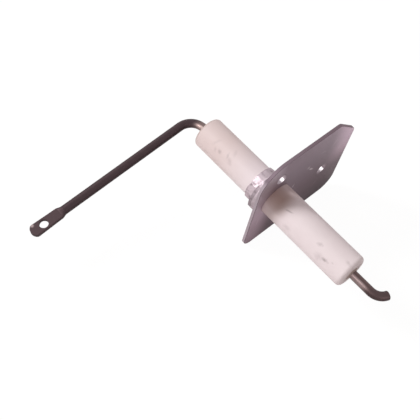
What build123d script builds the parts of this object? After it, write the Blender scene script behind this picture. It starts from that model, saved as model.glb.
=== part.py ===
from build123d import *
import os
from math import cos, radians, sin, tan

# Ignition electrode for a gas or oil burner.
#
# A bent, heat-resistant wire runs through a ceramic insulator and is cemented in at both ends.
# A sheet-metal plate with two fixing holes slides onto the insulator's thinner end and takes its
# step in a coined seat.  An aluminium ferrule, swaged over a packing sleeve, clamps it there.
#
# Millimetres.  X runs along the insulator towards the spark tip, Z is up the plate, and the
# origin is where the insulator's axis meets the face of the plate that seats on the burner.

# Electrode wire
rod_d = 3.2
arm_turn = 7.5  # degrees that the terminal arm lies below the -Y direction
elbow_radius = 6.1
elbow_reach = 7.7  # insulator's terminal face to the arm's centreline
arm_length = 57.1  # insulator's axis to where the wire starts to flatten
tip_straight = 8.2
hook_radius = 4.9
hook_angle = 67.5
hook_end_straight = 0.6
tip_round = 0.5

# Flattened terminal at the end of the arm
eye_root_width = 4.2
eye_width = 4.9  # at the outer end
eye_thickness = 1.4
eye_neck = 1.5  # length over which the round wire is forged flat
eye_length = 13.0  # from where the wire starts to flatten
eye_hole_d = 3.2
eye_hole_to_end = 5.1
eye_edge_round = 0.4
eye_end_radius = 2.5
eye_trim = 1.0  # the blank is left this much longer, and then cut round

# Insulator
terminal_body_d = 12.0
terminal_body_length = 35.0  # from the plate's seating face
tip_body_length = 36.2
insulator_step = 0.25  # the tip end is this much larger in radius, and stops the plate
step_seat = 0.1  # depth of the coined seat in the plate that takes the step
terminal_end_round = 1.0
tip_end_round = 1.5
wire_clearance = 0.15  # all round the wire in the insulator's bore

# Cement that seals the wire into a pocket at each end of the insulator
cement_thickness = 1.0
cement_depth = 5.0
cement_crown = 0.35  # how far the cement creeps out along the wire

# Flange plate
plate_thickness = 1.2
plate_left = 9.8  # insulator's axis to each edge
plate_right = 36.7
plate_below = 24.1
plate_above = 19.8
clip_along = 10.4  # the corner cut off at the top right
clip_down = 9.0
corner_top_left = 9.8
corner_bottom_left = 4.1
corner_bottom_right = 6.2
corner_clip_side = 3.6
corner_clip_top = 3.0
edge_break = 0.15  # burr taken off the outline
fixing_hole_d = 4.4
upper_fixing_hole = (0.0, 11.5)
side_fixing_hole = (24.9, -4.1)

# Ferrule
ferrule_clearance = 0.05  # between the insulator and what slides onto it, on radius
flange_wall = 2.1
flange_height = 3.8
flange_chamfer = 0.35
neck_length = 3.5
neck_wall = 0.45  # at the middle of a swaged flat
swage_flats = 12
lip_length = 1.0  # the swaged lip that closes on the insulator
lip_round = 0.35
ledge_length = 0.8  # from the plate to the end of the packing sleeve
packing_thickness = 0.25

# Worked out from the values above
rod_r = rod_d / 2
terminal_face = -terminal_body_length
tip_face = tip_body_length
terminal_r = terminal_body_d / 2
tip_r = terminal_r + insulator_step
pocket_r = rod_r + cement_thickness
arm_x = terminal_face - elbow_reach
eye_start = arm_length + eye_neck
eye_end = arm_length + eye_length
bore_r = terminal_r + ferrule_clearance
packing_r = terminal_r + packing_thickness
flange_r = bore_r + flange_wall
flange_face = -plate_thickness - flange_height
neck_end = flange_face - neck_length
packing_start = -plate_thickness - ledge_length
packing_end = neck_end + lip_length

# The wire is bent in one plane, which holds the insulator's axis and the arm's direction.
# In this plane x runs along the insulator and y along the arm.
arm_dir = Vector(0, -cos(radians(arm_turn)), -sin(radians(arm_turn)))
bend_plane = Plane(origin=(0, 0, 0), x_dir=(1, 0, 0), z_dir=Vector(1, 0, 0).cross(arm_dir))


def across_arm(distance):
    """Plane square to the arm, at a distance from the insulator's axis."""
    centre = bend_plane.from_local_coords((arm_x, distance, 0))
    return Plane(origin=centre, x_dir=(1, 0, 0), z_dir=arm_dir)


# Electrode wire, from the terminal's neck round the elbow to the spark tip
hook_start = tip_face + tip_straight
hook_run = hook_radius * tan(radians(hook_angle / 2))
hook_corner = hook_start + hook_run
last_run = hook_run + hook_end_straight
hook_end_x = hook_corner + last_run * cos(radians(hook_angle))
hook_end_y = -last_run * sin(radians(hook_angle))

with BuildPart() as electrode_rod:
    with BuildLine(bend_plane) as wire_route:
        FilletPolyline(
            (arm_x, arm_length),
            (arm_x, 0),
            (hook_corner, 0),
            (hook_end_x, hook_end_y),
            radius=[elbow_radius, hook_radius],
        )
    with BuildSketch(across_arm(arm_length)):
        Circle(rod_r)
    sweep(path=wire_route.line)
    spark_end = electrode_rod.faces().sort_by_distance(wire_route.line @ 1)[0]
    fillet(spark_end.edges(), tip_round)

    # The neck spreads from the round wire to the root of the flat terminal
    with BuildSketch(across_arm(arm_length)):
        Circle(rod_r)
    with BuildSketch(across_arm(eye_start)):
        RectangleRounded(eye_root_width, eye_thickness, eye_edge_round)
    loft()

    # The terminal widens a little towards its end, which is cut round
    with BuildSketch(across_arm(eye_start)):
        RectangleRounded(eye_root_width, eye_thickness, eye_edge_round)
    with BuildSketch(across_arm(eye_end + eye_trim)):
        RectangleRounded(eye_width, eye_thickness, eye_edge_round)
    loft()
    with BuildSketch(bend_plane.offset(-eye_thickness)):
        with Locations((arm_x, eye_end - eye_end_radius)):
            Rectangle(
                eye_width * 2,
                eye_end_radius + eye_trim * 2,
                align=(Align.CENTER, Align.MIN),
            )
            Circle(eye_end_radius, mode=Mode.SUBTRACT)
    extrude(amount=eye_thickness * 2, mode=Mode.SUBTRACT)
    with BuildSketch(bend_plane.offset(-eye_thickness)):
        with Locations((arm_x, eye_end - eye_hole_to_end)):
            Circle(eye_hole_d / 2)
    extrude(amount=eye_thickness * 2, mode=Mode.SUBTRACT)
electrode_rod.part.label = "electrode_rod"

# Insulator: one fired ceramic body, bored for the wire, with a cement pocket at each end
with BuildPart() as insulator:
    with BuildSketch(Plane.XY):
        with Locations((terminal_face, 0)):
            Rectangle(terminal_body_length, terminal_r, align=Align.MIN)
        with Locations((-step_seat, 0)):
            Rectangle(step_seat + tip_body_length, tip_r, align=Align.MIN)
        with Locations((terminal_face, 0)):
            Rectangle(
                terminal_body_length + tip_body_length,
                rod_r + wire_clearance,
                align=Align.MIN,
                mode=Mode.SUBTRACT,
            )
        with Locations((terminal_face, 0), (tip_face - cement_depth, 0)):
            Rectangle(cement_depth, pocket_r, align=Align.MIN, mode=Mode.SUBTRACT)
    revolve(axis=Axis.X)
    terminal_rim = insulator.faces().sort_by(Axis.X)[0].outer_wire().edges()
    fillet(terminal_rim, terminal_end_round)
    tip_rim = insulator.faces().sort_by(Axis.X)[-1].outer_wire().edges()
    fillet(tip_rim, tip_end_round)
insulator.part.label = "insulator"


def cement_section(face, outward):
    """Half section of the cement behind an end face, which creeps out along the wire."""
    inner_end = face - outward * cement_depth
    crown_end = face + outward * cement_crown
    with BuildSketch(Plane.XY) as section:
        with BuildLine():
            Polyline(
                (face, pocket_r),
                (inner_end, pocket_r),
                (inner_end, rod_r),
                (crown_end, rod_r),
                close=True,
            )
        make_face()
    return section.sketch


# Cement rings, which hold the wire and close the bore
with BuildPart() as terminal_cement:
    add(cement_section(terminal_face, -1))
    revolve(axis=Axis.X)
terminal_cement.part.label = "terminal_cement"

with BuildPart() as tip_cement:
    add(cement_section(tip_face, 1))
    revolve(axis=Axis.X)
tip_cement.part.label = "tip_cement"

# Flange plate: a blanked sheet with one corner cut off, drawn as seen along +X
with BuildPart() as flange_plate:
    with BuildSketch(Plane.YZ):
        with BuildLine():
            FilletPolyline(
                (-plate_left, plate_above),
                (-plate_left, -plate_below),
                (plate_right, -plate_below),
                (plate_right, plate_above - clip_down),
                (plate_right - clip_along, plate_above),
                radius=[
                    corner_top_left,
                    corner_bottom_left,
                    corner_bottom_right,
                    corner_clip_side,
                    corner_clip_top,
                ],
                close=True,
            )
        make_face()
        Circle(bore_r, mode=Mode.SUBTRACT)
        with Locations(upper_fixing_hole, side_fixing_hole):
            Circle(fixing_hole_d / 2, mode=Mode.SUBTRACT)
    extrude(amount=-plate_thickness)
    with BuildSketch(Plane.YZ):
        Circle(tip_r + ferrule_clearance)
    extrude(amount=-step_seat, mode=Mode.SUBTRACT)
    seating_face = flange_plate.faces().sort_by(Axis.X)[-1]
    chamfer(seating_face.outer_wire().edges(), edge_break)
flange_plate.part.label = "flange_plate"

# Ferrule: a round flange against the plate, and a neck that the swaging jaws have pressed into
# flats, with a lip that closes on the insulator
with BuildPart() as ferrule:
    with BuildSketch(Plane.YZ.offset(-plate_thickness)):
        Circle(flange_r)
    extrude(amount=-flange_height)
    flange_rim = ferrule.faces().sort_by(Axis.X)[0].edges()
    chamfer(flange_rim, flange_chamfer)
    with BuildSketch(Plane.YZ.offset(flange_face)):
        RegularPolygon(bore_r + neck_wall, swage_flats, major_radius=False, rotation=180 / swage_flats)
    extrude(amount=-neck_length)
    lip_rim = ferrule.faces().sort_by(Axis.X)[0].edges()
    fillet(lip_rim, lip_round)
    with BuildSketch(Plane.YZ.offset(-plate_thickness)):
        Circle(bore_r)
    extrude(amount=-flange_height - neck_length, mode=Mode.SUBTRACT)
    with BuildSketch(Plane.YZ.offset(packing_start)):
        Circle(packing_r)
    extrude(amount=packing_end - packing_start, mode=Mode.SUBTRACT)
ferrule.part.label = "ferrule"

# Packing: a thin sleeve between the ferrule's ledge and its swaged lip
with BuildPart() as packing_sleeve:
    with BuildSketch(Plane.YZ.offset(packing_start)):
        Circle(packing_r)
        Circle(terminal_r, mode=Mode.SUBTRACT)
    extrude(amount=packing_end - packing_start)
packing_sleeve.part.label = "packing_sleeve"

os.makedirs("parts", exist_ok=True)
export_step(electrode_rod.part, "parts/electrode_rod.step")
export_step(insulator.part, "parts/insulator.step")
export_step(terminal_cement.part, "parts/terminal_cement.step")
export_step(tip_cement.part, "parts/tip_cement.step")
export_step(flange_plate.part, "parts/flange_plate.step")
export_step(ferrule.part, "parts/ferrule.step")
export_step(packing_sleeve.part, "parts/packing_sleeve.step")
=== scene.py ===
# %% [markdown]
# # An ignition electrode, finished and lit
#
# A gas or oil burner is lit by a spark from the tip of a bent wire. The wire runs through a white
# ceramic insulator. A sheet-steel plate bolts the insulator to the burner, and a soft aluminium
# ferrule, squeezed onto the ceramic, keeps the plate where it is.
#
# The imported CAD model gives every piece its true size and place. This lesson dresses it. Most
# pieces keep their CAD mesh and get a procedural material. The ferrule is remade with Geometry
# Nodes, because its squeezed and folded metal is what a clean CAD solid can't show.

from math import cos, degrees, pi, radians, sin

import bmesh
import bpy
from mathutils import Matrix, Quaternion, Vector


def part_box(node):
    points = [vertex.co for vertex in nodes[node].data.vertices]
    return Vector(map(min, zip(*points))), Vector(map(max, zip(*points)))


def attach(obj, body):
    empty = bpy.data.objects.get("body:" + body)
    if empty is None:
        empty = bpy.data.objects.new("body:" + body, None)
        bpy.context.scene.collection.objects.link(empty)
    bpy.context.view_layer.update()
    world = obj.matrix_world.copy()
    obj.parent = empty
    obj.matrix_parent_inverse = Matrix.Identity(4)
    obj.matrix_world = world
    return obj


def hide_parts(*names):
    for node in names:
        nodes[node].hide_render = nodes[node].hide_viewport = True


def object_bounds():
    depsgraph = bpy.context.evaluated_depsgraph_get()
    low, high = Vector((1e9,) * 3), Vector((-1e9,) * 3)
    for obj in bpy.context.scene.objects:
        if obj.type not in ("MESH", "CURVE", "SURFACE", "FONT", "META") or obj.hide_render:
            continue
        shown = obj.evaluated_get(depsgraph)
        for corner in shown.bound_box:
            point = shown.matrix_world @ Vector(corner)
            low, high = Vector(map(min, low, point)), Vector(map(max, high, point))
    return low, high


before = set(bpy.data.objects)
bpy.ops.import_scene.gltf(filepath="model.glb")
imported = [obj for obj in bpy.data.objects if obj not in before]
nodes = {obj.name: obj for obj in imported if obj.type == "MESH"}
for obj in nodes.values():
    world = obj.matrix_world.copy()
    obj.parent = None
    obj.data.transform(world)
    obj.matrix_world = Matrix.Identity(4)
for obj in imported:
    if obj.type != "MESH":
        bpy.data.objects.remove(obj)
cad_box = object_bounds()
MM = 0.001
print("pieces from CAD:", sorted(nodes))
print("whole part in mm:", [round((high - low) / MM, 1) for low, high in zip(*cad_box)])

# %% [markdown]
# ## Small helpers
#
# Colours are easiest to choose as web colours, such as `#E8DCDA`, but Blender's sockets want
# linear light. One function does that change. A second one adds a node, so that each material
# below reads as a short list of what it is made of, and not as rows of wiring. A third gives a
# material the object's own coordinates in millimetres, so that patterns have real sizes.
#
# A Mix node has a pair of inputs for each kind of data: 2 and 3 take numbers, 4 and 5 vectors,
# and 6 and 7 colours. Its input 0 is the share of the second one.

# %% Colour helper


def colour(web):
    """Linear RGBA from an sRGB web colour."""
    linear = []
    for at in (1, 3, 5):
        value = int(web[at : at + 2], 16) / 255
        linear.append(value / 12.92 if value <= 0.04045 else ((value + 0.055) / 1.055) ** 2.4)
    return (*linear, 1.0)


print("mid grey #808080 is", round(colour("#808080")[0], 3), "in linear light")

# %% Node helper


def add(tree, kind, inputs=None, **settings):
    """Adds a node. Sockets and nodes given as inputs are linked, and other values are set.

    A node stands for the first of its outputs that is in use.
    """
    made = tree.nodes.new(kind)
    for name, value in settings.items():
        setattr(made, name, value)
    for name, value in (inputs or {}).items():
        if isinstance(value, bpy.types.Node):
            value = next(output for output in value.outputs if output.enabled)
        if isinstance(value, bpy.types.NodeSocket):
            tree.links.new(value, made.inputs[name])
        else:
            made.inputs[name].default_value = value
    return made


def new_material(name):
    """An empty material with its node tree."""
    made = bpy.data.materials.new(name)
    made.use_nodes = True
    made.node_tree.nodes.clear()
    return made, made.node_tree


def coordinates(tree):
    """Object coordinates in millimetres, those split into axes, and the surface's normal."""
    place = add(tree, "ShaderNodeTexCoord")
    in_mm = add(
        tree,
        "ShaderNodeVectorMath",
        {0: place.outputs["Object"], "Scale": 1 / MM},
        operation="SCALE",
    )
    return in_mm, add(tree, "ShaderNodeSeparateXYZ", {0: in_mm}), place.outputs["Normal"]


print("one unit of a pattern is", MM, "m")

# %% [markdown]
# ## The camera
#
# The part is small and was looked at from close by, so its near end looks clearly larger than
# its far end. The camera therefore stands only a quarter of a metre away, with a lens that is
# just long enough. It looks down from above the spark tip's side. A quaternion aims it, and a
# small roll about its own axis tilts the picture.

# %% Place the camera
target = Vector((-11.9, -18.4, -5.0)) * MM
distance = 255 * MM
azimuth = radians(36.2)
elevation = radians(57.88)
roll = radians(14.0)
outward = Vector((sin(azimuth) * cos(elevation), -cos(azimuth) * cos(elevation), sin(elevation)))
camera = bpy.data.objects.new("camera", bpy.data.cameras.new("camera"))
bpy.context.scene.collection.objects.link(camera)
camera.data.lens = 64.29
camera.data.sensor_width = 36
camera.location = target + outward * distance
camera.rotation_mode = "QUATERNION"
camera.rotation_quaternion = (-outward).to_track_quat("-Z", "Y") @ Quaternion((0, 0, 1), roll)
bpy.context.scene.camera = camera
print("camera stands at", [round(v / MM) for v in camera.location], "mm")

# %% [markdown]
# ## The lamps
#
# One key lamp lights the part from the terminal side, above and behind the plate. It is 420 mm
# across at a metre and a half, so the plate throws a shadow on the ceramic with an edge a few
# millimetres soft. Four weak, wide lamps do the rest: one keeps the side away from the key
# readable, one draws a long soft highlight on the wire, one lifts the spark end's face, and one
# draws the edge of the arm.
#
# An area lamp's power spreads over a half sphere, so the light that lands on a white surface at
# distance d is power / (pi * d)^2. That gives the power for the brightness that is wanted.

# %% Key and fill lamps


def lamp(name, towards, away, width, brightness, tint):
    """A round area lamp that gives a facing white surface the stated brightness."""
    data = bpy.data.lights.new(name, "AREA")
    data.shape = "DISK"
    data.size = width * MM
    data.energy = brightness * (pi * away * MM) ** 2
    data.color = colour(tint)[:3]
    made = bpy.data.objects.new(name, data)
    bpy.context.scene.collection.objects.link(made)
    direction = Vector(towards).normalized()
    made.location = direction * away * MM
    made.rotation_mode = "QUATERNION"
    made.rotation_quaternion = direction.to_track_quat("Z", "Y")
    print(name, "power", round(data.energy, 2), "W")


lamp("key_lamp", (-0.64, -0.436, 0.633), 1500, 420, 0.67, "#FFFFFF")
lamp("fill_lamp", (0.25, 0.80, 0.50), 900, 700, 0.13, "#FFF8F6")
lamp("side_lamp", (-0.06, -0.80, 0.59), 700, 260, 0.09, "#FFF6F2")
lamp("face_lamp", (0.80, -0.35, 0.45), 900, 500, 0.11, "#FFF8F6")
lamp("rim_lamp", (-0.85, 0.36, 0.30), 700, 400, 0.11, "#FFFFFF")

# %% [markdown]
# ## World and floor
#
# The background is plain white. The world is white to the camera and to reflections, which the
# metal needs, but it lights the part much more weakly, through the Light Path node's ray kinds.
# Otherwise the lamps could not shape anything.
#
# The floor is pale, and touches the lowest edge of the plate. Part of its material is white to
# the same rays, and the rest is an ordinary diffuse surface, which keeps the part's soft shadow.
# Reflections get less of the white than the camera, because the plate mirrors its own shadow.

# %% White world
world = bpy.data.worlds.new("white_studio")
bpy.context.scene.world = world
world.use_nodes = True
tree = world.node_tree
tree.nodes.clear()
path = add(tree, "ShaderNodeLightPath")
seen = path.outputs["Is Camera Ray"]
for ray in ("Is Glossy Ray", "Is Transmission Ray"):
    seen = add(tree, "ShaderNodeMath", {0: seen, 1: path.outputs[ray]}, operation="MAXIMUM")
ambient = add(tree, "ShaderNodeBackground", {"Color": colour("#FFEFEA"), "Strength": 0.25})
backdrop = add(tree, "ShaderNodeBackground", {"Color": colour("#FFFFFF"), "Strength": 1.0})
both = add(tree, "ShaderNodeMixShader", {0: seen, 1: ambient, 2: backdrop})
add(tree, "ShaderNodeOutputWorld", {"Surface": both})
bpy.context.scene.view_settings.view_transform = "Standard"
print("world strength", ambient.inputs["Strength"].default_value)

# %% Pale floor
white_to_camera = 0.92
white_to_mirrors = 0.2
floor_finish, tree = new_material("pale_floor")
path = add(tree, "ShaderNodeLightPath")
mirrored = add(
    tree,
    "ShaderNodeMath",
    {0: path.outputs["Is Glossy Ray"], 1: path.outputs["Is Transmission Ray"]},
    operation="MAXIMUM",
)
mirrored_share = add(
    tree, "ShaderNodeMath", {0: mirrored, 1: white_to_mirrors}, operation="MULTIPLY"
)
share = add(
    tree,
    "ShaderNodeMath",
    {0: path.outputs["Is Camera Ray"], 1: white_to_camera, 2: mirrored_share},
    operation="MULTIPLY_ADD",
)
paper = add(tree, "ShaderNodeBsdfDiffuse", {"Color": colour("#F6F4F4")})
white = add(tree, "ShaderNodeEmission", {"Color": colour("#FFFFFF"), "Strength": 1.04})
both = add(tree, "ShaderNodeMixShader", {0: share, 1: paper, 2: white})
add(tree, "ShaderNodeOutputMaterial", {"Surface": both})

floor_level = cad_box[0][2]
reach = 3.0  # metres each way
mesh = bpy.data.meshes.new("floor")
corners = [(-reach, -reach), (reach, -reach), (reach, reach), (-reach, reach)]
mesh.from_pydata([(x, y, floor_level) for x, y in corners], [], [(0, 1, 2, 3)])
mesh.materials.append(floor_finish)
floor = bpy.data.objects.new("floor", mesh)
bpy.context.scene.collection.objects.link(floor)
print("floor at", round(floor_level / MM, 2), "mm")

# %% [markdown]
# ## The insulator's ceramic
#
# The insulator is fired alumina, unglazed: matt, hard and white, with a faint pink warmth. Its
# surface isn't even. The kiln leaves broad, weak clouds of tone, and every steel tool or wire
# that touches alumina leaves a grey rub mark, because the ceramic wears the metal and not the
# other way round.
#
# The clouds are a low-contrast noise in Object coordinates. For the rub marks the surface is
# unrolled in the material: x stays the distance along the axis, and the angle times the radius
# becomes the distance around it, both in millimetres. Each mark is then an ellipse on a flat
# map, set by its place, size and turn, and a fine noise breaks its edge up.

# %% Unroll the insulator in its material
ceramic, tree = new_material("fired_alumina")
in_mm, axes, _ = coordinates(tree)
angle = add(
    tree, "ShaderNodeMath", {0: axes.outputs["Z"], 1: axes.outputs["Y"]}, operation="ARCTAN2"
)
insulator_low, insulator_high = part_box("insulator")
insulator_radius = (insulator_high[1] - insulator_low[1]) / 2 / MM
terminal_face = insulator_low[0] / MM
tip_face = insulator_high[0] / MM
around = add(tree, "ShaderNodeMath", {0: angle, 1: insulator_radius}, operation="MULTIPLY")
unrolled = add(tree, "ShaderNodeCombineXYZ", {"X": axes.outputs["X"], "Y": around})
print("insulator radius", round(insulator_radius, 2), "mm")
print("end faces at", round(terminal_face, 1), "and", round(tip_face, 1), "mm")

# %% Helper: soft marks on a flat map
specks_per_mm = 1.1
raggedness = 1.5
faded_at = 1.3  # times a mark's own size


def smudges(tree, flat_map, place, marks):
    """Soft ragged ellipses, each from its place, length, width, turn and strength.

    Places and sizes are in mm, and turns in degrees.
    """
    breakup = add(
        tree,
        "ShaderNodeTexNoise",
        {"Vector": place, "Scale": specks_per_mm, "Detail": 4.0, "Roughness": 0.6},
    )
    ragged = add(tree, "ShaderNodeMath", {0: breakup, 1: 0.5}, operation="SUBTRACT")
    strongest = 0.0
    for along, across, length, width, turn, strength in marks:
        on_map = add(
            tree,
            "ShaderNodeMapping",
            {
                "Vector": flat_map,
                "Location": (along, across, 0),
                "Rotation": (0, 0, radians(turn)),
                "Scale": (length / 2, width / 2, 1),
            },
            vector_type="TEXTURE",
        )
        from_middle = add(tree, "ShaderNodeVectorMath", {0: on_map}, operation="LENGTH")
        uneven = add(
            tree,
            "ShaderNodeMath",
            {0: ragged, 1: raggedness, 2: from_middle},
            operation="MULTIPLY_ADD",
        )
        mark = add(
            tree,
            "ShaderNodeMapRange",
            {"Value": uneven, "From Min": faded_at, "From Max": -0.1, "To Max": strength},
            interpolation_type="SMOOTHSTEP",
        )
        strongest = add(tree, "ShaderNodeMath", {0: strongest, 1: mark}, operation="MAXIMUM")
    return strongest


print("marks fade out at", faded_at, "times their size")

# %% Rub marks on the ceramic
# Distance along the axis, angle about it, length, width, turn on the unrolled map, strength.
# Lengths in mm and angles in degrees.
rub_marks = [
    (27.7, 151, 3.4, 1.3, -8, 0.62),
    (25.4, 158, 3.6, 3.2, 0, 0.22),
    (23.3, 126, 2.6, 1.6, -20, 0.34),
    (30.4, 140, 1.2, 0.8, 0, 0.22),
    (34.0, 107, 2.8, 1.5, 10, 0.26),
    (8.3, 120, 3.4, 0.7, -18, 0.50),
    (11.0, 165, 4.0, 2.2, 0, 0.20),
    (-24.0, 140, 2.4, 1.7, 30, 0.36),
    (-27.2, 124, 4.6, 1.4, -70, 0.14),
    (-25.8, 146, 2.6, 1.3, 60, 0.17),
    (-20.7, 131, 2.8, 1.1, 75, 0.25),
    (-19.0, 140, 3.4, 2.2, 40, 0.20),
    (-19.4, 108, 3.6, 1.5, 70, 0.13),
]
around_mm = radians(1) * insulator_radius
placed_marks = [(x, turn_about * around_mm, *rest) for x, turn_about, *rest in rub_marks]
marks = smudges(tree, unrolled, in_mm, placed_marks)
print(len(rub_marks), "rub marks")

# %% [markdown]
# Two stains and a painted shade finish the ceramic. Heat leaves a brown ring round the wire on the
# spark tip's face, and handling warms the terminal end and soils its rim. A brown-grey painted
# shade on the upper side, thickest in the corner by the plate, deepens the plate's shadow. They
# depend on where they are along the axis, how far from it and which way they face, so plain map
# ranges make them. Then one Principled shader takes it all. Alumina's IOR is 1.76, and its
# roughness drifts with the same clouds.

# %% Ceramic: clouds, warm end and soiled rim
cloud_width = 6.25
clouds = add(
    tree,
    "ShaderNodeTexNoise",
    {"Vector": in_mm, "Scale": 1 / cloud_width, "Detail": 4.0, "Roughness": 0.55},
)
cloud_tone = add(
    tree, "ShaderNodeMix", {0: clouds, 6: colour("#F1E7E9"), 7: colour("#E7DBDE")}, data_type="RGBA"
)
warm_end = add(
    tree,
    "ShaderNodeMapRange",
    {"Value": axes.outputs["X"], "From Min": -10.0, "From Max": -24.0, "To Max": 0.9},
)
warmed = add(
    tree, "ShaderNodeMix", {0: warm_end, 6: cloud_tone, 7: colour("#E2D1CF")}, data_type="RGBA"
)
end_rim = add(
    tree,
    "ShaderNodeMapRange",
    {
        "Value": axes.outputs["X"],
        "From Min": terminal_face + 1.1,
        "From Max": terminal_face + 0.5,
        "To Max": 0.6,
    },
    interpolation_type="SMOOTHSTEP",
)
handled = add(
    tree, "ShaderNodeMix", {0: end_rim, 6: warmed, 7: colour("#A08D85")}, data_type="RGBA"
)
print("clouds", cloud_width, "mm wide")

# %% Ceramic: scorched face
from_axis = add(tree, "ShaderNodeCombineXYZ", {"Y": axes.outputs["Y"], "Z": axes.outputs["Z"]})
off_axis = add(tree, "ShaderNodeVectorMath", {0: from_axis}, operation="LENGTH")
near_wire = add(
    tree,
    "ShaderNodeMapRange",
    {"Value": off_axis, "From Min": 6.4, "From Max": 1.2, "To Max": 0.60},
    interpolation_type="SMOOTHSTEP",
)
end_face = add(
    tree,
    "ShaderNodeMapRange",
    {"Value": axes.outputs["X"], "From Min": tip_face - 1.0, "From Max": tip_face - 0.1},
)
scorch = add(tree, "ShaderNodeMath", {0: near_wire, 1: end_face}, operation="MULTIPLY")
scorched = add(
    tree, "ShaderNodeMix", {0: scorch, 6: handled, 7: colour("#8A7468")}, data_type="RGBA"
)
print("scorch fades out", round(near_wire.inputs["From Min"].default_value, 1), "mm off the axis")

# %% Ceramic: painted shade by the plate
# Painted shade: a brown-grey darkening of the plate's shadow on the ceramic's upper side.
by_plate = add(
    tree,
    "ShaderNodeMapRange",
    {"Value": axes.outputs["X"], "From Min": 9.3, "From Max": 4.0},
    interpolation_type="SMOOTHSTEP",
)
shade_angle = radians(114)
shade_side = (0, cos(shade_angle), sin(shade_angle))
that_way = add(tree, "ShaderNodeVectorMath", {0: in_mm, 1: shade_side}, operation="DOT_PRODUCT")
shade_facing = add(
    tree,
    "ShaderNodeMapRange",
    {
        "Value": that_way,
        "From Min": insulator_radius * cos(radians(45)),
        "From Max": insulator_radius,
        "To Min": 0.50,
        "To Max": 0.92,
    },
)
shade_reach = add(tree, "ShaderNodeMath", {0: by_plate, 1: shade_facing}, operation="MULTIPLY")
in_front = add(tree, "ShaderNodeMath", {0: axes.outputs["X"], 1: -0.5}, operation="GREATER_THAN")
plate_shade = add(tree, "ShaderNodeMath", {0: shade_reach, 1: in_front}, operation="MULTIPLY")
plate_shaded = add(tree, "ShaderNodeMix", {0: plate_shade, 6: scorched, 7: colour("#9B8077")}, data_type="RGBA")
print("dust lies thickest at", round(degrees(shade_angle)), "degrees about the axis")

# %% Ceramic: rub marks, grain and shader
grain_width = 0.2
rubbed = add(tree, "ShaderNodeMix", {0: marks, 6: plate_shaded, 7: colour("#7D6F70")}, data_type="RGBA")
matt = add(tree, "ShaderNodeMapRange", {"Value": clouds, "To Min": 0.5, "To Max": 0.64})
grain = add(
    tree,
    "ShaderNodeTexNoise",
    {"Vector": in_mm, "Scale": 1 / grain_width, "Detail": 5.0, "Roughness": 0.65},
)
relief = add(tree, "ShaderNodeBump", {"Height": grain, "Strength": 0.25, "Distance": 0.04 * MM})
skin = add(
    tree,
    "ShaderNodeBsdfPrincipled",
    {
        "Base Color": rubbed,
        "Roughness": matt,
        "Normal": relief,
        "IOR": 1.76,
        "Specular IOR Level": 0.3,
    },
)
add(tree, "ShaderNodeOutputMaterial", {"Surface": skin})
nodes["insulator"].material_slots[0].material = ceramic
print("ceramic has", len(tree.nodes), "nodes, and a grain of", grain_width, "mm")

# %% [markdown]
# ## The wire's oxide skin
#
# The electrode is drawn iron-chromium-aluminium wire. Its first heating grows a thin brown-black
# oxide, which dulls the metal. Drawing leaves faint lines along the wire, and the skin is
# thinner, so browner and shinier, where the wire leaves the ceramic. There, at both ends, one
# side of the wire carries a painted highlight: a lighter band that widens the lamps' highlight.
#
# The lines have to follow the wire, which runs along X in the insulator and nearly along Y in
# the arm. Two stretched copies of the Object coordinates do that, and the elbow blends them.
#
# The terminal was forged flat after the wire was drawn, so it is a little paler and rougher, and
# one small spot on its corner carries a painted glint.

# %% Wire: coordinates that follow the wire
# In mm along X: the elbow runs from -42.7 to -36.6, the insulator from -35 to 36.2, and the
# spark hook starts at 44.4.
oxide, tree = new_material("oxidised_resistance_wire")
in_mm, axes, normal = coordinates(tree)
lines_per_mm = 2.6
stretch = 0.06
along_x = add(tree, "ShaderNodeVectorMath", {0: in_mm, 1: (stretch, 1, 1)}, operation="MULTIPLY")
along_y = add(tree, "ShaderNodeVectorMath", {0: in_mm, 1: (1, stretch, 1)}, operation="MULTIPLY")
on_arm = add(
    tree, "ShaderNodeMapRange", {"Value": axes.outputs["X"], "From Min": -38.0, "From Max": -41.0}
)
drawn_way = add(tree, "ShaderNodeMix", {0: on_arm, 4: along_x, 5: along_y}, data_type="VECTOR")
draw_lines = add(
    tree,
    "ShaderNodeTexNoise",
    {"Vector": drawn_way, "Scale": lines_per_mm, "Detail": 3.0, "Roughness": 0.6},
)
print("drawing lines about", round(1 / lines_per_mm, 2), "mm apart")

# %% Wire: oxide colour
patches_per_mm = 0.55
patches = add(
    tree,
    "ShaderNodeTexNoise",
    {"Vector": in_mm, "Scale": patches_per_mm, "Detail": 5.0, "Roughness": 0.6},
)
skin_tone = add(
    tree,
    "ShaderNodeMix",
    {0: patches, 6: colour("#362B2D"), 7: colour("#504244")},
    data_type="RGBA",
)
lined = add(
    tree, "ShaderNodeMix", {0: draw_lines, 6: skin_tone, 7: colour("#43373A")}, data_type="RGBA"
)
before_tip = add(
    tree,
    "ShaderNodeMapRange",
    {"Value": axes.outputs["X"], "From Min": 45.6, "From Max": 41.0, "To Min": 0.6},
    interpolation_type="SMOOTHSTEP",
)
after_elbow = add(
    tree,
    "ShaderNodeMapRange",
    {"Value": axes.outputs["X"], "From Min": -40.6, "From Max": -37.6, "To Max": 0.85},
    interpolation_type="SMOOTHSTEP",
)
thin = add(tree, "ShaderNodeMath", {0: before_tip, 1: after_elbow}, operation="MULTIPLY")
bare_tone = add(tree, "ShaderNodeMix", {0: thin, 6: lined, 7: colour("#5B4A49")}, data_type="RGBA")
print("oxide patches about", round(1 / patches_per_mm, 1), "mm wide")
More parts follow.
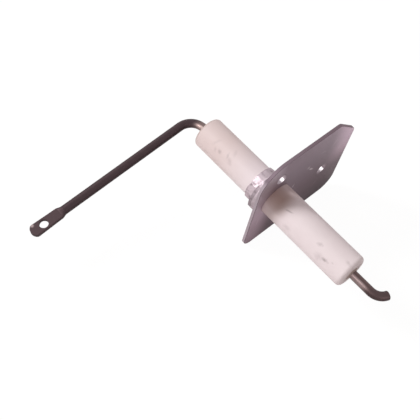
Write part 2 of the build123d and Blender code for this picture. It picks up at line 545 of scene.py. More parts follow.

# %% Wire: painted highlights along one side at both ends
# Painted highlight: beyond the spark tip's face, a lighter band along one side of the wire.
wire_radius = 1.6
highlight_angle = radians(150)
highlight_side = (0, cos(highlight_angle), sin(highlight_angle))
that_way = add(tree, "ShaderNodeVectorMath", {0: in_mm, 1: highlight_side}, operation="DOT_PRODUCT")
side_band = add(
    tree,
    "ShaderNodeMapRange",
    {
        "Value": that_way,
        "From Min": wire_radius * cos(radians(52)),
        "From Max": wire_radius * cos(radians(20)),
    },
    interpolation_type="SMOOTHSTEP",
)
highlight_end = add(
    tree,
    "ShaderNodeMapRange",
    {"Value": axes.outputs["X"], "From Min": 44.4, "From Max": 41.0},
    interpolation_type="SMOOTHSTEP",
)
past_face = add(tree, "ShaderNodeMath", {0: axes.outputs["X"], 1: 30.0}, operation="GREATER_THAN")
highlight_run = add(tree, "ShaderNodeMath", {0: highlight_end, 1: past_face}, operation="MULTIPLY")
stub_end = add(
    tree,
    "ShaderNodeMapRange",
    {"Value": axes.outputs["X"], "From Min": -40.8, "From Max": -37.2},
    interpolation_type="SMOOTHSTEP",
)
before_face = add(tree, "ShaderNodeMath", {0: axes.outputs["X"], 1: -30.0}, operation="LESS_THAN")
stub = add(tree, "ShaderNodeMath", {0: stub_end, 1: before_face}, operation="MULTIPLY")
# The share of the painted highlight on the wire beyond the tip face.
rub = add(tree, "ShaderNodeMath", {0: highlight_run, 1: side_band}, operation="MULTIPLY")
tip_highlighted = add(tree, "ShaderNodeMix", {0: rub, 6: bare_tone, 7: colour("#8F7D7D")}, data_type="RGBA")
# Painted highlight: beside the terminal end, the side facing the key lamp's highlight is lighter.
stub_highlight_angle = radians(142)
stub_highlight_way = (0, cos(stub_highlight_angle), sin(stub_highlight_angle))
stub_highlight_facing = add(tree, "ShaderNodeVectorMath", {0: normal, 1: stub_highlight_way}, operation="DOT_PRODUCT")
stub_highlight_band = add(
    tree,
    "ShaderNodeMapRange",
    {"Value": stub_highlight_facing, "From Min": 0.82, "From Max": 0.98, "To Min": 0.25},
    interpolation_type="SMOOTHSTEP",
)
stub_highlight = add(tree, "ShaderNodeMath", {0: stub, 1: stub_highlight_band}, operation="MULTIPLY")
stub_highlighted = add(
    tree, "ShaderNodeMix", {0: stub_highlight, 6: tip_highlighted, 7: colour("#C2ABA7")}, data_type="RGBA"
)
# Prints the angles of the two painted highlights.
print(
    "gauge rubbed at", round(degrees(highlight_angle)), "degrees, tool at", round(degrees(stub_highlight_angle))
)

# %% Wire: scuffs, forged terminal and a painted glint
scuffs_per_mm = 1.3
scuffs = add(
    tree,
    "ShaderNodeTexNoise",
    {"Vector": drawn_way, "Scale": scuffs_per_mm, "Detail": 6.0, "Roughness": 0.7},
)
scuffed = add(
    tree,
    "ShaderNodeMapRange",
    {"Value": scuffs, "From Min": 0.64, "From Max": 0.78, "To Max": 0.5},
    interpolation_type="SMOOTHSTEP",
)
# Painted glint: a small light spot on the terminal's corner.
glint_spot = (-44.5, -67.9, -8.2)
to_spot = add(tree, "ShaderNodeVectorMath", {0: in_mm, 1: glint_spot}, operation="DISTANCE")
corner_glint = add(
    tree,
    "ShaderNodeMapRange",
    {"Value": to_spot, "From Min": 0.9, "From Max": 0.1},
    interpolation_type="SMOOTHSTEP",
)
worn = add(tree, "ShaderNodeMix", {0: scuffed, 6: stub_highlighted, 7: colour("#6E6060")}, data_type="RGBA")
forged = add(
    tree, "ShaderNodeMapRange", {"Value": axes.outputs["Y"], "From Min": -57.0, "From Max": -59.0}
)
paler = add(tree, "ShaderNodeMath", {0: forged, 1: 0.18}, operation="MULTIPLY")
forged_tone = add(
    tree, "ShaderNodeMix", {0: paler, 6: worn, 7: colour("#675759")}, data_type="RGBA"
)
corner_glinted = add(
    tree, "ShaderNodeMix", {0: corner_glint, 6: forged_tone, 7: colour("#988888")}, data_type="RGBA"
)
print("bare spot at", glint_spot, "mm")

# %% Wire: surface
dull = add(tree, "ShaderNodeMapRange", {"Value": patches, "To Min": 0.44, "To Max": 0.60})
stub_gloss = add(tree, "ShaderNodeMath", {0: stub, 1: 0.13}, operation="MULTIPLY")
thin_gloss = add(tree, "ShaderNodeMath", {0: thin, 1: 0.2, 2: stub_gloss}, operation="MULTIPLY_ADD")
less = add(tree, "ShaderNodeMath", {0: dull, 1: thin_gloss}, operation="SUBTRACT")
gloss = add(tree, "ShaderNodeMath", {0: forged, 1: 0.12, 2: less}, operation="MULTIPLY_ADD")
relief = add(tree, "ShaderNodeBump", {"Height": draw_lines, "Strength": 0.3, "Distance": 0.05 * MM})
skin = add(
    tree,
    "ShaderNodeBsdfPrincipled",
    {"Base Color": corner_glinted, "Metallic": 1.0, "Roughness": gloss, "Normal": relief},
)
add(tree, "ShaderNodeOutputMaterial", {"Surface": skin})
nodes["electrode_rod"].material_slots[0].material = oxide
print("wire has", len(tree.nodes), "nodes")

# %% [markdown]
# ## The plate's rolled steel
#
# The plate is blanked from cold-rolled steel sheet and left bare. Rolling draws long faint
# streaks along the sheet, and handling and heat add a violet-grey cast, soft clouds and a few
# bright scratches. Blanking shears the outer edge rough, and it has since tarnished. On the
# short side, which faces the key lamp, the edge carries a painted highlight.
#
# The streaks are a noise stretched along Y. The cut edge is found by its normal: on the faces
# the normal points along X, and on the edge it doesn't. The sheet is painted darker towards the
# bottom and paler in the free corner and the narrow side strip: a painted reflection of the
# floor's shade and light. The drilled holes have grey walls, with a painted highlight on the
# side turned to the key lamp.

# %% Plate: rolling streaks and clouds
# In mm, the plate reaches from -9.8 to 36.7 along Y and from -24.1 to 19.8 along Z.
steel, tree = new_material("cold_rolled_steel")
in_mm, axes, normal = coordinates(tree)
streaks_per_mm = 1.4
clouds_per_mm = 0.22
rolled_way = add(tree, "ShaderNodeVectorMath", {0: in_mm, 1: (1, 0.07, 1)}, operation="MULTIPLY")
streaks = add(
    tree,
    "ShaderNodeTexNoise",
    {"Vector": rolled_way, "Scale": streaks_per_mm, "Detail": 5.0, "Roughness": 0.65},
)
clouds = add(
    tree,
    "ShaderNodeTexNoise",
    {"Vector": in_mm, "Scale": clouds_per_mm, "Detail": 5.0, "Roughness": 0.6},
)
face_tone = add(
    tree, "ShaderNodeMix", {0: clouds, 6: colour("#86757F"), 7: colour("#AE9EAB")}, data_type="RGBA"
)
streaked = add(
    tree, "ShaderNodeMix", {0: streaks, 6: face_tone, 7: colour("#95838F")}, data_type="RGBA"
)
print(
    "streaks", round(1 / streaks_per_mm, 1), "mm apart, clouds", round(1 / clouds_per_mm, 1), "mm"
)

# %% Plate: darker towards the bottom, paler in the free corner
# Painted reflection: the sheet's tone falls towards the bottom and rises in the free corner.
slant = add(
    tree,
    "ShaderNodeMath",
    {0: axes.outputs["Y"], 1: -0.3, 2: axes.outputs["Z"]},
    operation="MULTIPLY_ADD",
)
low_down = add(
    tree,
    "ShaderNodeMapRange",
    {"Value": slant, "From Min": -30.0, "From Max": 12.0, "To Min": 0.31, "To Max": 1.0},
)
outwards = add(
    tree,
    "ShaderNodeMath",
    {0: axes.outputs["Z"], 1: 0.15, 2: axes.outputs["Y"]},
    operation="MULTIPLY_ADD",
)
corner_y = add(
    tree,
    "ShaderNodeMapRange",
    {"Value": outwards, "From Min": 24.5, "From Max": 36.0},
    interpolation_type="SMOOTHSTEP",
)
corner_z = add(
    tree,
    "ShaderNodeMapRange",
    {"Value": axes.outputs["Z"], "From Min": -9.0, "From Max": 5.0},
    interpolation_type="SMOOTHSTEP",
)
corner = add(tree, "ShaderNodeMath", {0: corner_y, 1: corner_z}, operation="MULTIPLY")
print("darkest tone", round(low_down.inputs["To Min"].default_value, 2), "of the sheet's own")

# %% Plate: paler side strip
# Painted reflection: the strip along the short side is painted paler.
strip_z = add(
    tree,
    "ShaderNodeMapRange",
    {
        "Value": axes.outputs["Z"],
        "From Min": -22.0,
        "From Max": -4.0,
        "To Min": 0.5,
        "To Max": 0.79,
    },
)
strip_top = add(
    tree,
    "ShaderNodeMapRange",
    {"Value": axes.outputs["Z"], "From Min": 8.0, "From Max": 15.0, "To Max": 0.28},
)
strip_tone = add(tree, "ShaderNodeMath", {0: strip_z, 1: strip_top}, operation="ADD")
strip = add(
    tree,
    "ShaderNodeMapRange",
    {"Value": axes.outputs["Y"], "From Min": 2.0, "From Max": -6.0, "To Max": strip_tone},
    interpolation_type="SMOOTHSTEP",
)
print("strip fades out at Y", strip.inputs["From Min"].default_value, "mm")

# %% Plate: painted reflection
pale = add(tree, "ShaderNodeMath", {0: corner, 1: strip}, operation="MAXIMUM")
painted_reflection = add(tree, "ShaderNodeMath", {0: pale, 1: low_down}, operation="ADD")
tinted = add(tree, "ShaderNodeVectorMath", {0: streaked, "Scale": painted_reflection}, operation="SCALE")
# Towards the bottom, the painted shade is also tinted pinker.
lower_tint = add(
    tree, "ShaderNodeMapRange", {"Value": axes.outputs["Z"], "From Min": 8.0, "From Max": -14.0}
)
off_strip = add(tree, "ShaderNodeMath", {0: 1.0, 1: strip}, operation="SUBTRACT")
lower_tint_share = add(tree, "ShaderNodeMath", {0: lower_tint, 1: off_strip}, operation="MULTIPLY")
lower_tinted = add(
    tree,
    "ShaderNodeMix",
    {0: lower_tint_share, 6: tinted, 7: colour("#FFEDEF")},
    data_type="RGBA",
    blend_type="MULTIPLY",
)
upper_strip = add(
    tree,
    "ShaderNodeMapRange",
    {"Value": axes.outputs["Z"], "From Min": -4.0, "From Max": 8.0, "To Max": strip},
)
# The paler strip's painted reflection is made less pink in its upper part.
greyer = add(
    tree,
    "ShaderNodeMix",
    {0: upper_strip, 6: lower_tinted, 7: colour("#F0FFF7")},
    data_type="RGBA",
    blend_type="MULTIPLY",
)
print("plate so far:", len(tree.nodes), "nodes")

# %% Plate: bright scratches
# Y, Z, length, width, turn, strength, on the plate's face, in mm and degrees.
scratches = [
    (17.1, 2.5, 4.2, 1.0, -41, 0.95),
    (15.0, 4.9, 1.8, 1.0, 20, 0.80),
    (9.2, -1.0, 3.0, 0.8, 75, 0.60),
    (26.5, 10.5, 5.0, 0.7, 60, 0.30),
    (31.0, 4.0, 4.0, 0.6, 80, 0.30),
    (21.5, 9.0, 3.4, 0.5, -15, 0.25),
    (-6.0, -10.0, 5.5, 0.6, 85, 0.35),
    (24.0, -12.5, 4.0, 0.5, 35, 0.20),
]
sheet = add(tree, "ShaderNodeCombineXYZ", {"X": axes.outputs["Y"], "Y": axes.outputs["Z"]})
bright_marks = smudges(tree, sheet, in_mm, scratches)
scratched = add(
    tree, "ShaderNodeMix", {0: bright_marks, 6: greyer, 7: colour("#DCD0D6")}, data_type="RGBA"
)
print(len(scratches), "scratches")

# %% Plate: cut edge
facing = add(tree, "ShaderNodeSeparateXYZ", {0: normal})
face_on = add(tree, "ShaderNodeMath", {0: facing.outputs["X"]}, operation="ABSOLUTE")
cut_edge = add(tree, "ShaderNodeMath", {0: face_on, 1: 0.9}, operation="LESS_THAN")
# Painted highlight: the edge that faces the key lamp is painted lighter.
lit_edge = add(
    tree,
    "ShaderNodeMapRange",
    {"Value": facing.outputs["Y"], "From Min": -0.75, "From Max": -0.93},
    interpolation_type="SMOOTHSTEP",
)
along_top = add(
    tree, "ShaderNodeMapRange", {"Value": axes.outputs["Y"], "From Min": 2.0, "From Max": 14.0}
)
tarnished = add(
    tree,
    "ShaderNodeMix",
    {0: along_top, 6: colour("#7C6D75"), 7: colour("#73636A")},
    data_type="RGBA",
)
edge_tone = add(
    tree, "ShaderNodeMix", {0: lit_edge, 6: tarnished, 7: colour("#B4A8AF")}, data_type="RGBA"
)
edged = add(tree, "ShaderNodeMix", {0: cut_edge, 6: scratched, 7: edge_tone}, data_type="RGBA")
print("cut edge: normal's X under", round(cut_edge.inputs[1].default_value, 2))

# %% Plate: hole walls
hole_middles = ((0.0, 11.5, 0.0), (24.9, -4.1, 0.0))
hole_reach = 2.3
in_hole = 0.0
for middle in hole_middles:
    away = add(tree, "ShaderNodeVectorMath", {0: sheet, 1: middle}, operation="DISTANCE")
    near = add(tree, "ShaderNodeMath", {0: away, 1: hole_reach}, operation="LESS_THAN")
    in_hole = add(tree, "ShaderNodeMath", {0: in_hole, 1: near}, operation="MAXIMUM")
# Painted highlight: the wall side turned to the key lamp's highlight is painted bright.
glint_way = (0, -0.5, 0.866)
glint_facing = add(
    tree, "ShaderNodeVectorMath", {0: normal, 1: glint_way}, operation="DOT_PRODUCT"
)
hole_glint = add(
    tree,
    "ShaderNodeMapRange",
    {"Value": glint_facing, "From Min": 0.92, "From Max": 0.98},
    interpolation_type="SMOOTHSTEP",
)
wall_tone = add(
    tree,
    "ShaderNodeMix",
    {0: hole_glint, 6: colour("#A99DA3"), 7: colour("#F6EEF2")},
    data_type="RGBA",
)
hole_wall = add(tree, "ShaderNodeMix", {0: in_hole, 6: edged, 7: wall_tone}, data_type="RGBA")
print(len(hole_middles), "holes")

# %% Plate: surface
smooth_face = add(tree, "ShaderNodeMapRange", {"Value": clouds, "To Min": 0.36, "To Max": 0.52})
edge_gloss = add(tree, "ShaderNodeMix", {0: cut_edge, 2: smooth_face, 3: 0.68})
hole_gloss = add(tree, "ShaderNodeMix", {0: in_hole, 2: edge_gloss, 3: 0.40})
relief = add(tree, "ShaderNodeBump", {"Height": streaks, "Strength": 0.2, "Distance": 0.05 * MM})
skin = add(
    tree,
    "ShaderNodeBsdfPrincipled",
    {"Base Color": hole_wall, "Metallic": 1.0, "Roughness": hole_gloss, "Normal": relief},
)
add(tree, "ShaderNodeOutputMaterial", {"Surface": skin})
nodes["flange_plate"].material_slots[0].material = steel
print("plate has", len(tree.nodes), "nodes")

# %% [markdown]
# ## The ferrule, squeezed onto the ceramic
#
# The ferrule is a short aluminium tube with a flange. After it is slid on, twelve jaws close on
# its neck. They leave twelve flats, no two quite as deep, and the soft metal between them and at
# the foot of the flange rises in small folds. A clean CAD solid has the flats and not the folds.
#
# Geometry Nodes can build it by its own rule. The tree takes the cross-section as a closed
# outline, rounds its corners, and carries it round the axis on a grid: one side of the grid is
# the way round, and the other is the way along the outline. Then each point's radius is changed:
# divided by the cosine of its angle from the middle of its flat, which makes a twelve-sided neck,
# moved in or out with its flat, and wrinkled by a noise.
#
# The outline's points are (x, radius, corner radius) in millimetres. The groove in the bore is
# where the packing sleeve lies.

# %% Ferrule: the outline of its wall
ferrule_low, ferrule_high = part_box("ferrule")
packing_low, packing_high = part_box("packing_sleeve")
terminal_radius = 6.0  # of the insulator, on this side of the plate
slide_fit = 0.05
neck_wall = 0.45
neck_length = 3.5
plate_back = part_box("flange_plate")[0][0] / MM
lip = ferrule_low[0] / MM
flange_radius = ferrule_high[1] / MM
packing_radius = packing_high[1] / MM + 0.02
packing_start = packing_low[0] / MM - 0.05
packing_end = packing_high[0] / MM + 0.05
bore = terminal_radius + slide_fit
neck = bore + neck_wall
shoulder = lip + neck_length
outline = [
    (plate_back, bore, 0.0),
    (plate_back, flange_radius, 0.1),
    (shoulder, flange_radius, 0.5),
    (shoulder, neck, 0.45),
    (lip, neck, 0.35),
    (lip, bore, 0.05),
    (packing_start, bore, 0.0),
    (packing_start, packing_radius, 0.0),
    (packing_end, packing_radius, 0.0),
    (packing_end, bore, 0.0),
]
mesh = bpy.data.meshes.new("ferrule_outline")
corner_count = len(outline)
edges = [(i, (i + 1) % corner_count) for i in range(corner_count)]
mesh.from_pydata([(x, r, 0) for x, r, _ in outline], edges, [])
rounding = mesh.attributes.new("rounding", "FLOAT", "POINT")
for item, corner in zip(rounding.data, outline):
    item.value = corner[2]
ferrule = bpy.data.objects.new("swaged_ferrule", mesh)
bpy.context.scene.collection.objects.link(ferrule)
print(len(outline), "corners, from x", round(lip, 2), "to", round(plate_back, 2), "mm")

# %% [markdown]
# The ferrule's main sizes become named inputs of the tree, so that another ferrule needs new
# numbers and no new nodes. The random depths of the flats have a seed, which makes them the
# same on each run.

# %% Ferrule: the tree's inputs
swage = bpy.data.node_groups.new("swaged_tube", "GeometryNodeTree")
swage.interface.new_socket("Outline", in_out="INPUT", socket_type="NodeSocketGeometry")
swage.interface.new_socket("Tube", in_out="OUTPUT", socket_type="NodeSocketGeometry")
sizes = {
    "Steps Round": ("NodeSocketInt", 240),
    "Steps Along": ("NodeSocketInt", 150),
    "Flats": ("NodeSocketInt", 12),
    "Flat Turn": ("NodeSocketFloat", radians(5)),
    "Shoulder": ("NodeSocketFloat", shoulder),
    "Uneven Depth": ("NodeSocketFloat", 0.09),
    "Fold Height": ("NodeSocketFloat", 0.34),
    "Lip": ("NodeSocketFloat", lip),
    "Lip Waviness": ("NodeSocketFloat", 1.4),
    "Bore": ("NodeSocketFloat", packing_radius),
    "Seed": ("NodeSocketInt", 4),
    "Finish": ("NodeSocketMaterial", None),
}
identifiers = {}
for name, (kind, value) in sizes.items():
    socket = swage.interface.new_socket(name, in_out="INPUT", socket_type=kind)
    identifiers[name] = socket.identifier
given = add(swage, "NodeGroupInput")
print("inputs:", list(sizes))

# %% Ferrule: carry the outline round the axis
curve = add(swage, "GeometryNodeMeshToCurve", {"Mesh": given.outputs["Outline"]})
corner_radius = add(
    swage, "GeometryNodeInputNamedAttribute", {"Name": "rounding"}, data_type="FLOAT"
)
rounded = add(
    swage,
    "GeometryNodeFilletCurve",
    {"Curve": curve, "Count": 8, "Radius": corner_radius},
    mode="POLY",
)
wide = add(swage, "ShaderNodeMath", {0: given.outputs["Steps Round"], 1: 1.0}, operation="ADD")
tall = add(swage, "ShaderNodeMath", {0: given.outputs["Steps Along"], 1: 1.0}, operation="ADD")
grid = add(
    swage,
    "GeometryNodeMeshGrid",
    {"Size X": 1.0, "Size Y": 1.0, "Vertices X": wide, "Vertices Y": tall},
)
grid_place = add(swage, "GeometryNodeInputPosition")
on_grid = add(swage, "ShaderNodeSeparateXYZ", {0: grid_place})
turned = add(swage, "ShaderNodeMath", {0: on_grid.outputs["X"], 1: 2 * pi}, operation="MULTIPLY")
share = add(swage, "ShaderNodeMath", {0: on_grid.outputs["Y"], 1: 0.5}, operation="ADD")
on_outline = add(
    swage, "GeometryNodeSampleCurve", {"Curves": rounded, "Factor": share}, mode="FACTOR"
)
section = add(swage, "ShaderNodeSeparateXYZ", {0: on_outline.outputs["Position"]})
cosine = add(swage, "ShaderNodeMath", {0: turned}, operation="COSINE")
sine = add(swage, "ShaderNodeMath", {0: turned}, operation="SINE")
round_axis = add(swage, "ShaderNodeCombineXYZ", {"Y": cosine, "Z": sine})
print("tree so far:", len(swage.nodes), "nodes")

# %% Ferrule: the flats
flat_angle = add(
    swage, "ShaderNodeMath", {0: 2 * pi, 1: given.outputs["Flats"]}, operation="DIVIDE"
)
half_flat = add(swage, "ShaderNodeMath", {0: flat_angle, 1: 0.5}, operation="MULTIPLY")
minus_half = add(swage, "ShaderNodeMath", {0: flat_angle, 1: -0.5}, operation="MULTIPLY")
from_first = add(
    swage, "ShaderNodeMath", {0: turned, 1: given.outputs["Flat Turn"]}, operation="SUBTRACT"
)
off_middle = add(
    swage, "ShaderNodeMath", {0: from_first, 1: half_flat, 2: minus_half}, operation="WRAP"
)
off_cosine = add(swage, "ShaderNodeMath", {0: off_middle}, operation="COSINE")
flatten = add(swage, "ShaderNodeMath", {0: 1.0, 1: off_cosine}, operation="DIVIDE")
growth = add(swage, "ShaderNodeMath", {0: flatten, 1: 1.0}, operation="SUBTRACT")
flats_passed = add(swage, "ShaderNodeMath", {0: from_first, 1: flat_angle}, operation="DIVIDE")
flat_number = add(swage, "ShaderNodeMath", {0: flats_passed}, operation="ROUND")
flat_id = add(
    swage, "ShaderNodeMath", {0: flat_number, 1: given.outputs["Flats"], 2: 0.0}, operation="WRAP"
)
depth = add(
    swage,
    "FunctionNodeRandomValue",
    {2: -1.0, 3: 1.0, "ID": flat_id, "Seed": given.outputs["Seed"]},
    data_type="FLOAT",
)
# A flat moves in or out as a whole, and the edges between flats stay where they are.
across = add(swage, "ShaderNodeMath", {0: off_middle, 1: half_flat}, operation="DIVIDE")
edge = add(swage, "ShaderNodeMath", {0: across, 1: 6.0}, operation="POWER")
inside_flat = add(swage, "ShaderNodeMath", {0: 1.0, 1: edge}, operation="SUBTRACT")
moved = add(
    swage, "ShaderNodeMath", {0: depth, 1: given.outputs["Uneven Depth"]}, operation="MULTIPLY"
)
flat_move = add(swage, "ShaderNodeMath", {0: moved, 1: inside_flat}, operation="MULTIPLY")
# The flats fade out just past the shoulder, and the flange stays round.
past_shoulder = add(
    swage, "ShaderNodeMath", {0: given.outputs["Shoulder"], 1: 0.7}, operation="ADD"
)
neck_start = add(swage, "ShaderNodeMath", {0: given.outputs["Shoulder"], 1: -0.1}, operation="ADD")
on_neck = add(
    swage,
    "ShaderNodeMapRange",
    {"Value": section.outputs["X"], "From Min": past_shoulder, "From Max": neck_start},
    interpolation_type="SMOOTHSTEP",
)
print("flats are", 360 / sizes["Flats"][1], "degrees wide")

# %% Ferrule: folds and final radius
place_mm = add(
    swage, "ShaderNodeVectorMath", {0: round_axis, "Scale": section.outputs["Y"]}, operation="SCALE"
)
along_axis = add(swage, "ShaderNodeCombineXYZ", {"X": section.outputs["X"]})
smooth_place = add(swage, "ShaderNodeVectorMath", {0: place_mm, 1: along_axis}, operation="ADD")
creases_per_mm = 0.75
creases = add(
    swage,
    "ShaderNodeTexNoise",
    {"Vector": smooth_place, "Scale": creases_per_mm, "Detail": 3.0, "Roughness": 0.55},
)
crease_height = add(swage, "ShaderNodeMath", {0: creases, 1: 0.5}, operation="SUBTRACT")
fold = add(
    swage,
    "ShaderNodeMath",
    {0: crease_height, 1: given.outputs["Fold Height"]},
    operation="MULTIPLY",
)
flat_growth = add(
    swage,
    "ShaderNodeMath",
    {0: growth, 1: section.outputs["Y"], 2: flat_move},
    operation="MULTIPLY_ADD",
)
neck_change = add(
    swage, "ShaderNodeMath", {0: flat_growth, 1: on_neck, 2: fold}, operation="MULTIPLY_ADD"
)
# The bore and the groove in it keep their radius, and the outer wall changes.
off_bore = add(swage, "ShaderNodeMath", {0: given.outputs["Bore"], 1: 0.15}, operation="ADD")
outside = add(
    swage,
    "ShaderNodeMapRange",
    {"Value": section.outputs["Y"], "From Min": given.outputs["Bore"], "From Max": off_bore},
)
final_radius = add(
    swage,
    "ShaderNodeMath",
    {0: neck_change, 1: outside, 2: section.outputs["Y"]},
    operation="MULTIPLY_ADD",
)
ring = add(swage, "ShaderNodeVectorMath", {0: round_axis, "Scale": final_radius}, operation="SCALE")
print("creases about", round(1 / creases_per_mm, 1), "mm wide")

# %% Ferrule: wavy lip and finish
lip_wave = add(
    swage,
    "ShaderNodeTexNoise",
    {"Vector": round_axis, "W": given.outputs["Seed"], "Scale": 1.1, "Detail": 1.0},
    noise_dimensions="4D",
)
# Where this noise is high, the lip is drawn in along the axis.
wave_height = add(swage, "ShaderNodeMath", {0: lip_wave, 1: 0.36}, operation="SUBTRACT")
drawn_in = add(swage, "ShaderNodeMath", {0: wave_height, 1: 0.0}, operation="MAXIMUM")
lip_pull = add(
    swage, "ShaderNodeMath", {0: drawn_in, 1: given.outputs["Lip Waviness"]}, operation="MULTIPLY"
)
off_lip = add(swage, "ShaderNodeMath", {0: given.outputs["Lip"], 1: 0.9}, operation="ADD")
at_lip = add(
    swage,
    "ShaderNodeMapRange",
    {"Value": section.outputs["X"], "From Min": off_lip, "From Max": given.outputs["Lip"]},
)
final_x = add(
    swage,
    "ShaderNodeMath",
    {0: lip_pull, 1: at_lip, 2: section.outputs["X"]},
    operation="MULTIPLY_ADD",
)
moved_along = add(swage, "ShaderNodeCombineXYZ", {"X": final_x})
final_place = add(swage, "ShaderNodeVectorMath", {0: ring, 1: moved_along}, operation="ADD")
in_metres = add(swage, "ShaderNodeVectorMath", {0: final_place, "Scale": MM}, operation="SCALE")
# The material will read each crease's height from this attribute.
noted = add(
    swage,
    "GeometryNodeStoreNamedAttribute",
    {"Geometry": grid, "Name": "hollow", "Value": crease_height},
    data_type="FLOAT",
    domain="POINT",
)
formed = add(swage, "GeometryNodeSetPosition", {"Geometry": noted, "Position": in_metres})
closed = add(swage, "GeometryNodeMergeByDistance", {"Geometry": formed, "Distance": 1e-6})
# A grid rolled up this way has its faces inwards.
flipped = add(swage, "GeometryNodeFlipFaces", {0: closed})
smoothed = add(swage, "GeometryNodeSetShadeSmooth", {"Geometry": flipped})
real = add(swage, "GeometryNodeRealizeInstances", {"Geometry": smoothed})
finished = add(
    swage, "GeometryNodeSetMaterial", {"Geometry": real, "Material": given.outputs["Finish"]}
)
add(swage, "NodeGroupOutput", {"Tube": finished})
print("whole tree:", len(swage.nodes), "nodes")

# %% [markdown]
# ## The ferrule's aluminium
#
# Squeezed aluminium isn't polished. It has a thin grey oxide and a rubbed shine on the flats. The
# tree has stored how high each crease stands, so the material darkens the hollows with that
# attribute, a painted shade in the folds. The flange never met the jaws and stays duller than the
# neck. The flange's top and the ferrule's +Y side are painted darker, and a painted shade darkens
# the corner at the foot of the neck on the -Y side.

# %% Aluminium: bright neck and duller flange
aluminium, tree = new_material("swaged_aluminium")
in_mm, axes, _ = coordinates(tree)
tarnish_per_mm = 0.7
tarnish = add(
    tree,
    "ShaderNodeTexNoise",
    {"Vector": in_mm, "Scale": tarnish_per_mm, "Detail": 5.0, "Roughness": 0.6},
)
metal_tone = add(
    tree,
    "ShaderNodeMix",
    {0: tarnish, 6: colour("#B5A6AD"), 7: colour("#D6C8CE")},
    data_type="RGBA",
)
on_flange = add(
    tree,
    "ShaderNodeMapRange",
    {
        "Value": axes.outputs["X"],
        "From Min": shoulder - 0.2,
        "From Max": shoulder + 0.3,
        "To Max": 0.6,
    },
)
flange_tone = add(
    tree, "ShaderNodeMix", {0: on_flange, 6: metal_tone, 7: colour("#B9ACB2")}, data_type="RGBA"
)
print("tarnish in patches of", round(1 / tarnish_per_mm, 1), "mm")

# %% Aluminium: darker flange top and a painted shade in the corner
# The flange's top and the ferrule's +Y side are painted darker.
before_top = add(
    tree,
    "ShaderNodeMapRange",
    {"Value": axes.outputs["Y"], "From Min": -3.9, "From Max": -2.0},
    interpolation_type="SMOOTHSTEP",
)
past_top = add(
    tree,
    "ShaderNodeMapRange",
    {"Value": axes.outputs["Y"], "From Min": 5.5, "From Max": 2.0},
    interpolation_type="SMOOTHSTEP",
)
on_top = add(tree, "ShaderNodeMath", {0: before_top, 1: past_top}, operation="MULTIPLY")
on_neck_top = add(
    tree,
    "ShaderNodeMapRange",
    {"Value": axes.outputs["Y"], "From Min": -1.6, "From Max": -0.4, "To Max": 0.3},
    interpolation_type="SMOOTHSTEP",
)
off_corner = add(
    tree,
    "ShaderNodeMapRange",
    {
        "Value": axes.outputs["X"],
        "From Min": shoulder + 0.4,
        "From Max": shoulder + 0.9,
        "To Max": 0.9,
    },
    interpolation_type="SMOOTHSTEP",
)
top_dark = add(
    tree, "ShaderNodeMath", {0: on_top, 1: off_corner, 2: on_neck_top}, operation="MULTIPLY_ADD"
)
# Painted shade: the corner at the foot of the neck, on the -Y side.
low_side = add(
    tree,
    "ShaderNodeMapRange",
    {"Value": axes.outputs["Y"], "From Min": -4.0, "From Max": -5.4, "To Max": 0.4},
    interpolation_type="SMOOTHSTEP",
)
corner_shade_band = add(
    tree, "ShaderNodeMath", {0: axes.outputs["X"], 1: shoulder + 0.7, 2: 0.7}, operation="COMPARE"
)
all_dark = add(
    tree, "ShaderNodeMath", {0: low_side, 1: corner_shade_band, 2: top_dark}, operation="MULTIPLY_ADD"
)
dark_share = add(tree, "ShaderNodeClamp", {"Value": all_dark})
dark_toned = add(
    tree, "ShaderNodeMix", {0: dark_share, 6: flange_tone, 7: colour("#574B50")}, data_type="RGBA"
)
print("flange starts at x", round(shoulder, 2), "mm")

# %% Aluminium: painted shade in the hollows, and surface
scores_per_mm = 2.6
height = add(tree, "ShaderNodeAttribute", attribute_name="hollow")
# Painted shade in the crease hollows, read from the stored crease height.
in_hollow = add(
    tree,
    "ShaderNodeMapRange",
    {"Value": height.outputs["Fac"], "From Min": 0.0, "From Max": -0.22, "To Max": 0.7},
    interpolation_type="SMOOTHSTEP",
)
hollows_shaded = add(tree, "ShaderNodeMix", {0: in_hollow, 6: dark_toned, 7: colour("#74676C")}, data_type="RGBA")
dull = add(tree, "ShaderNodeMapRange", {"Value": tarnish, "To Min": 0.47, "To Max": 0.66})
duller = add(tree, "ShaderNodeMath", {0: dark_share, 1: 0.3, 2: dull}, operation="MULTIPLY_ADD")
scores = add(
    tree,
    "ShaderNodeTexNoise",
    {"Vector": in_mm, "Scale": scores_per_mm, "Detail": 5.0, "Roughness": 0.65},
)
relief = add(tree, "ShaderNodeBump", {"Height": scores, "Strength": 0.5, "Distance": 0.12 * MM})
skin = add(
    tree,
    "ShaderNodeBsdfPrincipled",
    {"Base Color": hollows_shaded, "Metallic": 1.0, "Roughness": duller, "Normal": relief},
)
add(tree, "ShaderNodeOutputMaterial", {"Surface": skin})
print("aluminium has", len(tree.nodes), "nodes")

# %% [markdown]
# The modifier gets its inputs by the sockets' identifiers, which stay the same when a socket is
# renamed. Its result becomes a plain mesh, which every renderer and exporter can read. That mesh
# then stands in for the CAD node and rides on the same body.

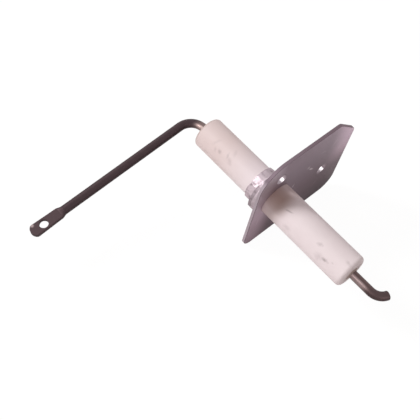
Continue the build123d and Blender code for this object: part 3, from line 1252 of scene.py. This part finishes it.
# %% Make the ferrule and put it in place of its CAD node
modifier = ferrule.modifiers.new("swage", "NODES")
modifier.node_group = swage
for name, (_, value) in sizes.items():
    modifier[identifiers[name]] = aluminium if name == "Finish" else value
view_layer = bpy.context.evaluated_depsgraph_get()
ferrule.data = bpy.data.meshes.new_from_object(ferrule.evaluated_get(view_layer))
ferrule.modifiers.remove(modifier)
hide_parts("ferrule")
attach(ferrule, "root")
high_corner = [max(v.co[i] for v in ferrule.data.vertices) / MM for i in range(3)]
print(len(ferrule.data.polygons), "faces, high corner", [round(v, 2) for v in high_corner])
solid = bmesh.new()
solid.from_mesh(ferrule.data)
whole = all(edge.is_manifold for edge in solid.edges)
print("closed:", whole, "- volume", round(solid.calc_volume(signed=True) / MM**3, 1), "mm3")
solid.free()

# %% [markdown]
# ## Cement and packing
#
# Refractory cement holds the wire in each end of the insulator. It is a gritty grey-brown fill,
# and only a ring of it shows round the wire. The packing is a thin sleeve of mineral fibre that
# cushions the ceramic under the ferrule. It shows only inside the lip.

# %% Two fillers from one function


def filler(name, light, dark, grain_size, roughness, stretch):
    """A rough mineral filler with a two-tone grain of the given size in mm."""
    made, tree = new_material(name)
    place = add(tree, "ShaderNodeTexCoord")
    in_mm = add(
        tree, "ShaderNodeVectorMath", {0: place.outputs["Object"], 1: stretch}, operation="MULTIPLY"
    )
    grains = add(
        tree,
        "ShaderNodeTexNoise",
        {"Vector": in_mm, "Scale": 1 / grain_size, "Detail": 4.0, "Roughness": 0.7},
    )
    tone = add(
        tree, "ShaderNodeMix", {0: grains, 6: colour(dark), 7: colour(light)}, data_type="RGBA"
    )
    relief = add(
        tree,
        "ShaderNodeBump",
        {"Height": grains, "Strength": 0.6, "Distance": grain_size * 0.4 * MM},
    )
    skin = add(
        tree,
        "ShaderNodeBsdfPrincipled",
        {"Base Color": tone, "Roughness": roughness, "Normal": relief},
    )
    add(tree, "ShaderNodeOutputMaterial", {"Surface": skin})
    print(name, "with grains of", grain_size, "mm")
    return made


cement = filler("refractory_cement", "#BFADA5", "#8B7A73", 0.35, 0.85, (1 / MM, 1 / MM, 1 / MM))
nodes["terminal_cement"].material_slots[0].material = cement
nodes["tip_cement"].material_slots[0].material = cement
fibre = filler(
    "mineral_fibre_packing", "#D9CCBE", "#A6978A", 0.3, 0.9, (1 / MM, 0.3 / MM, 0.3 / MM)
)
nodes["packing_sleeve"].material_slots[0].material = fibre
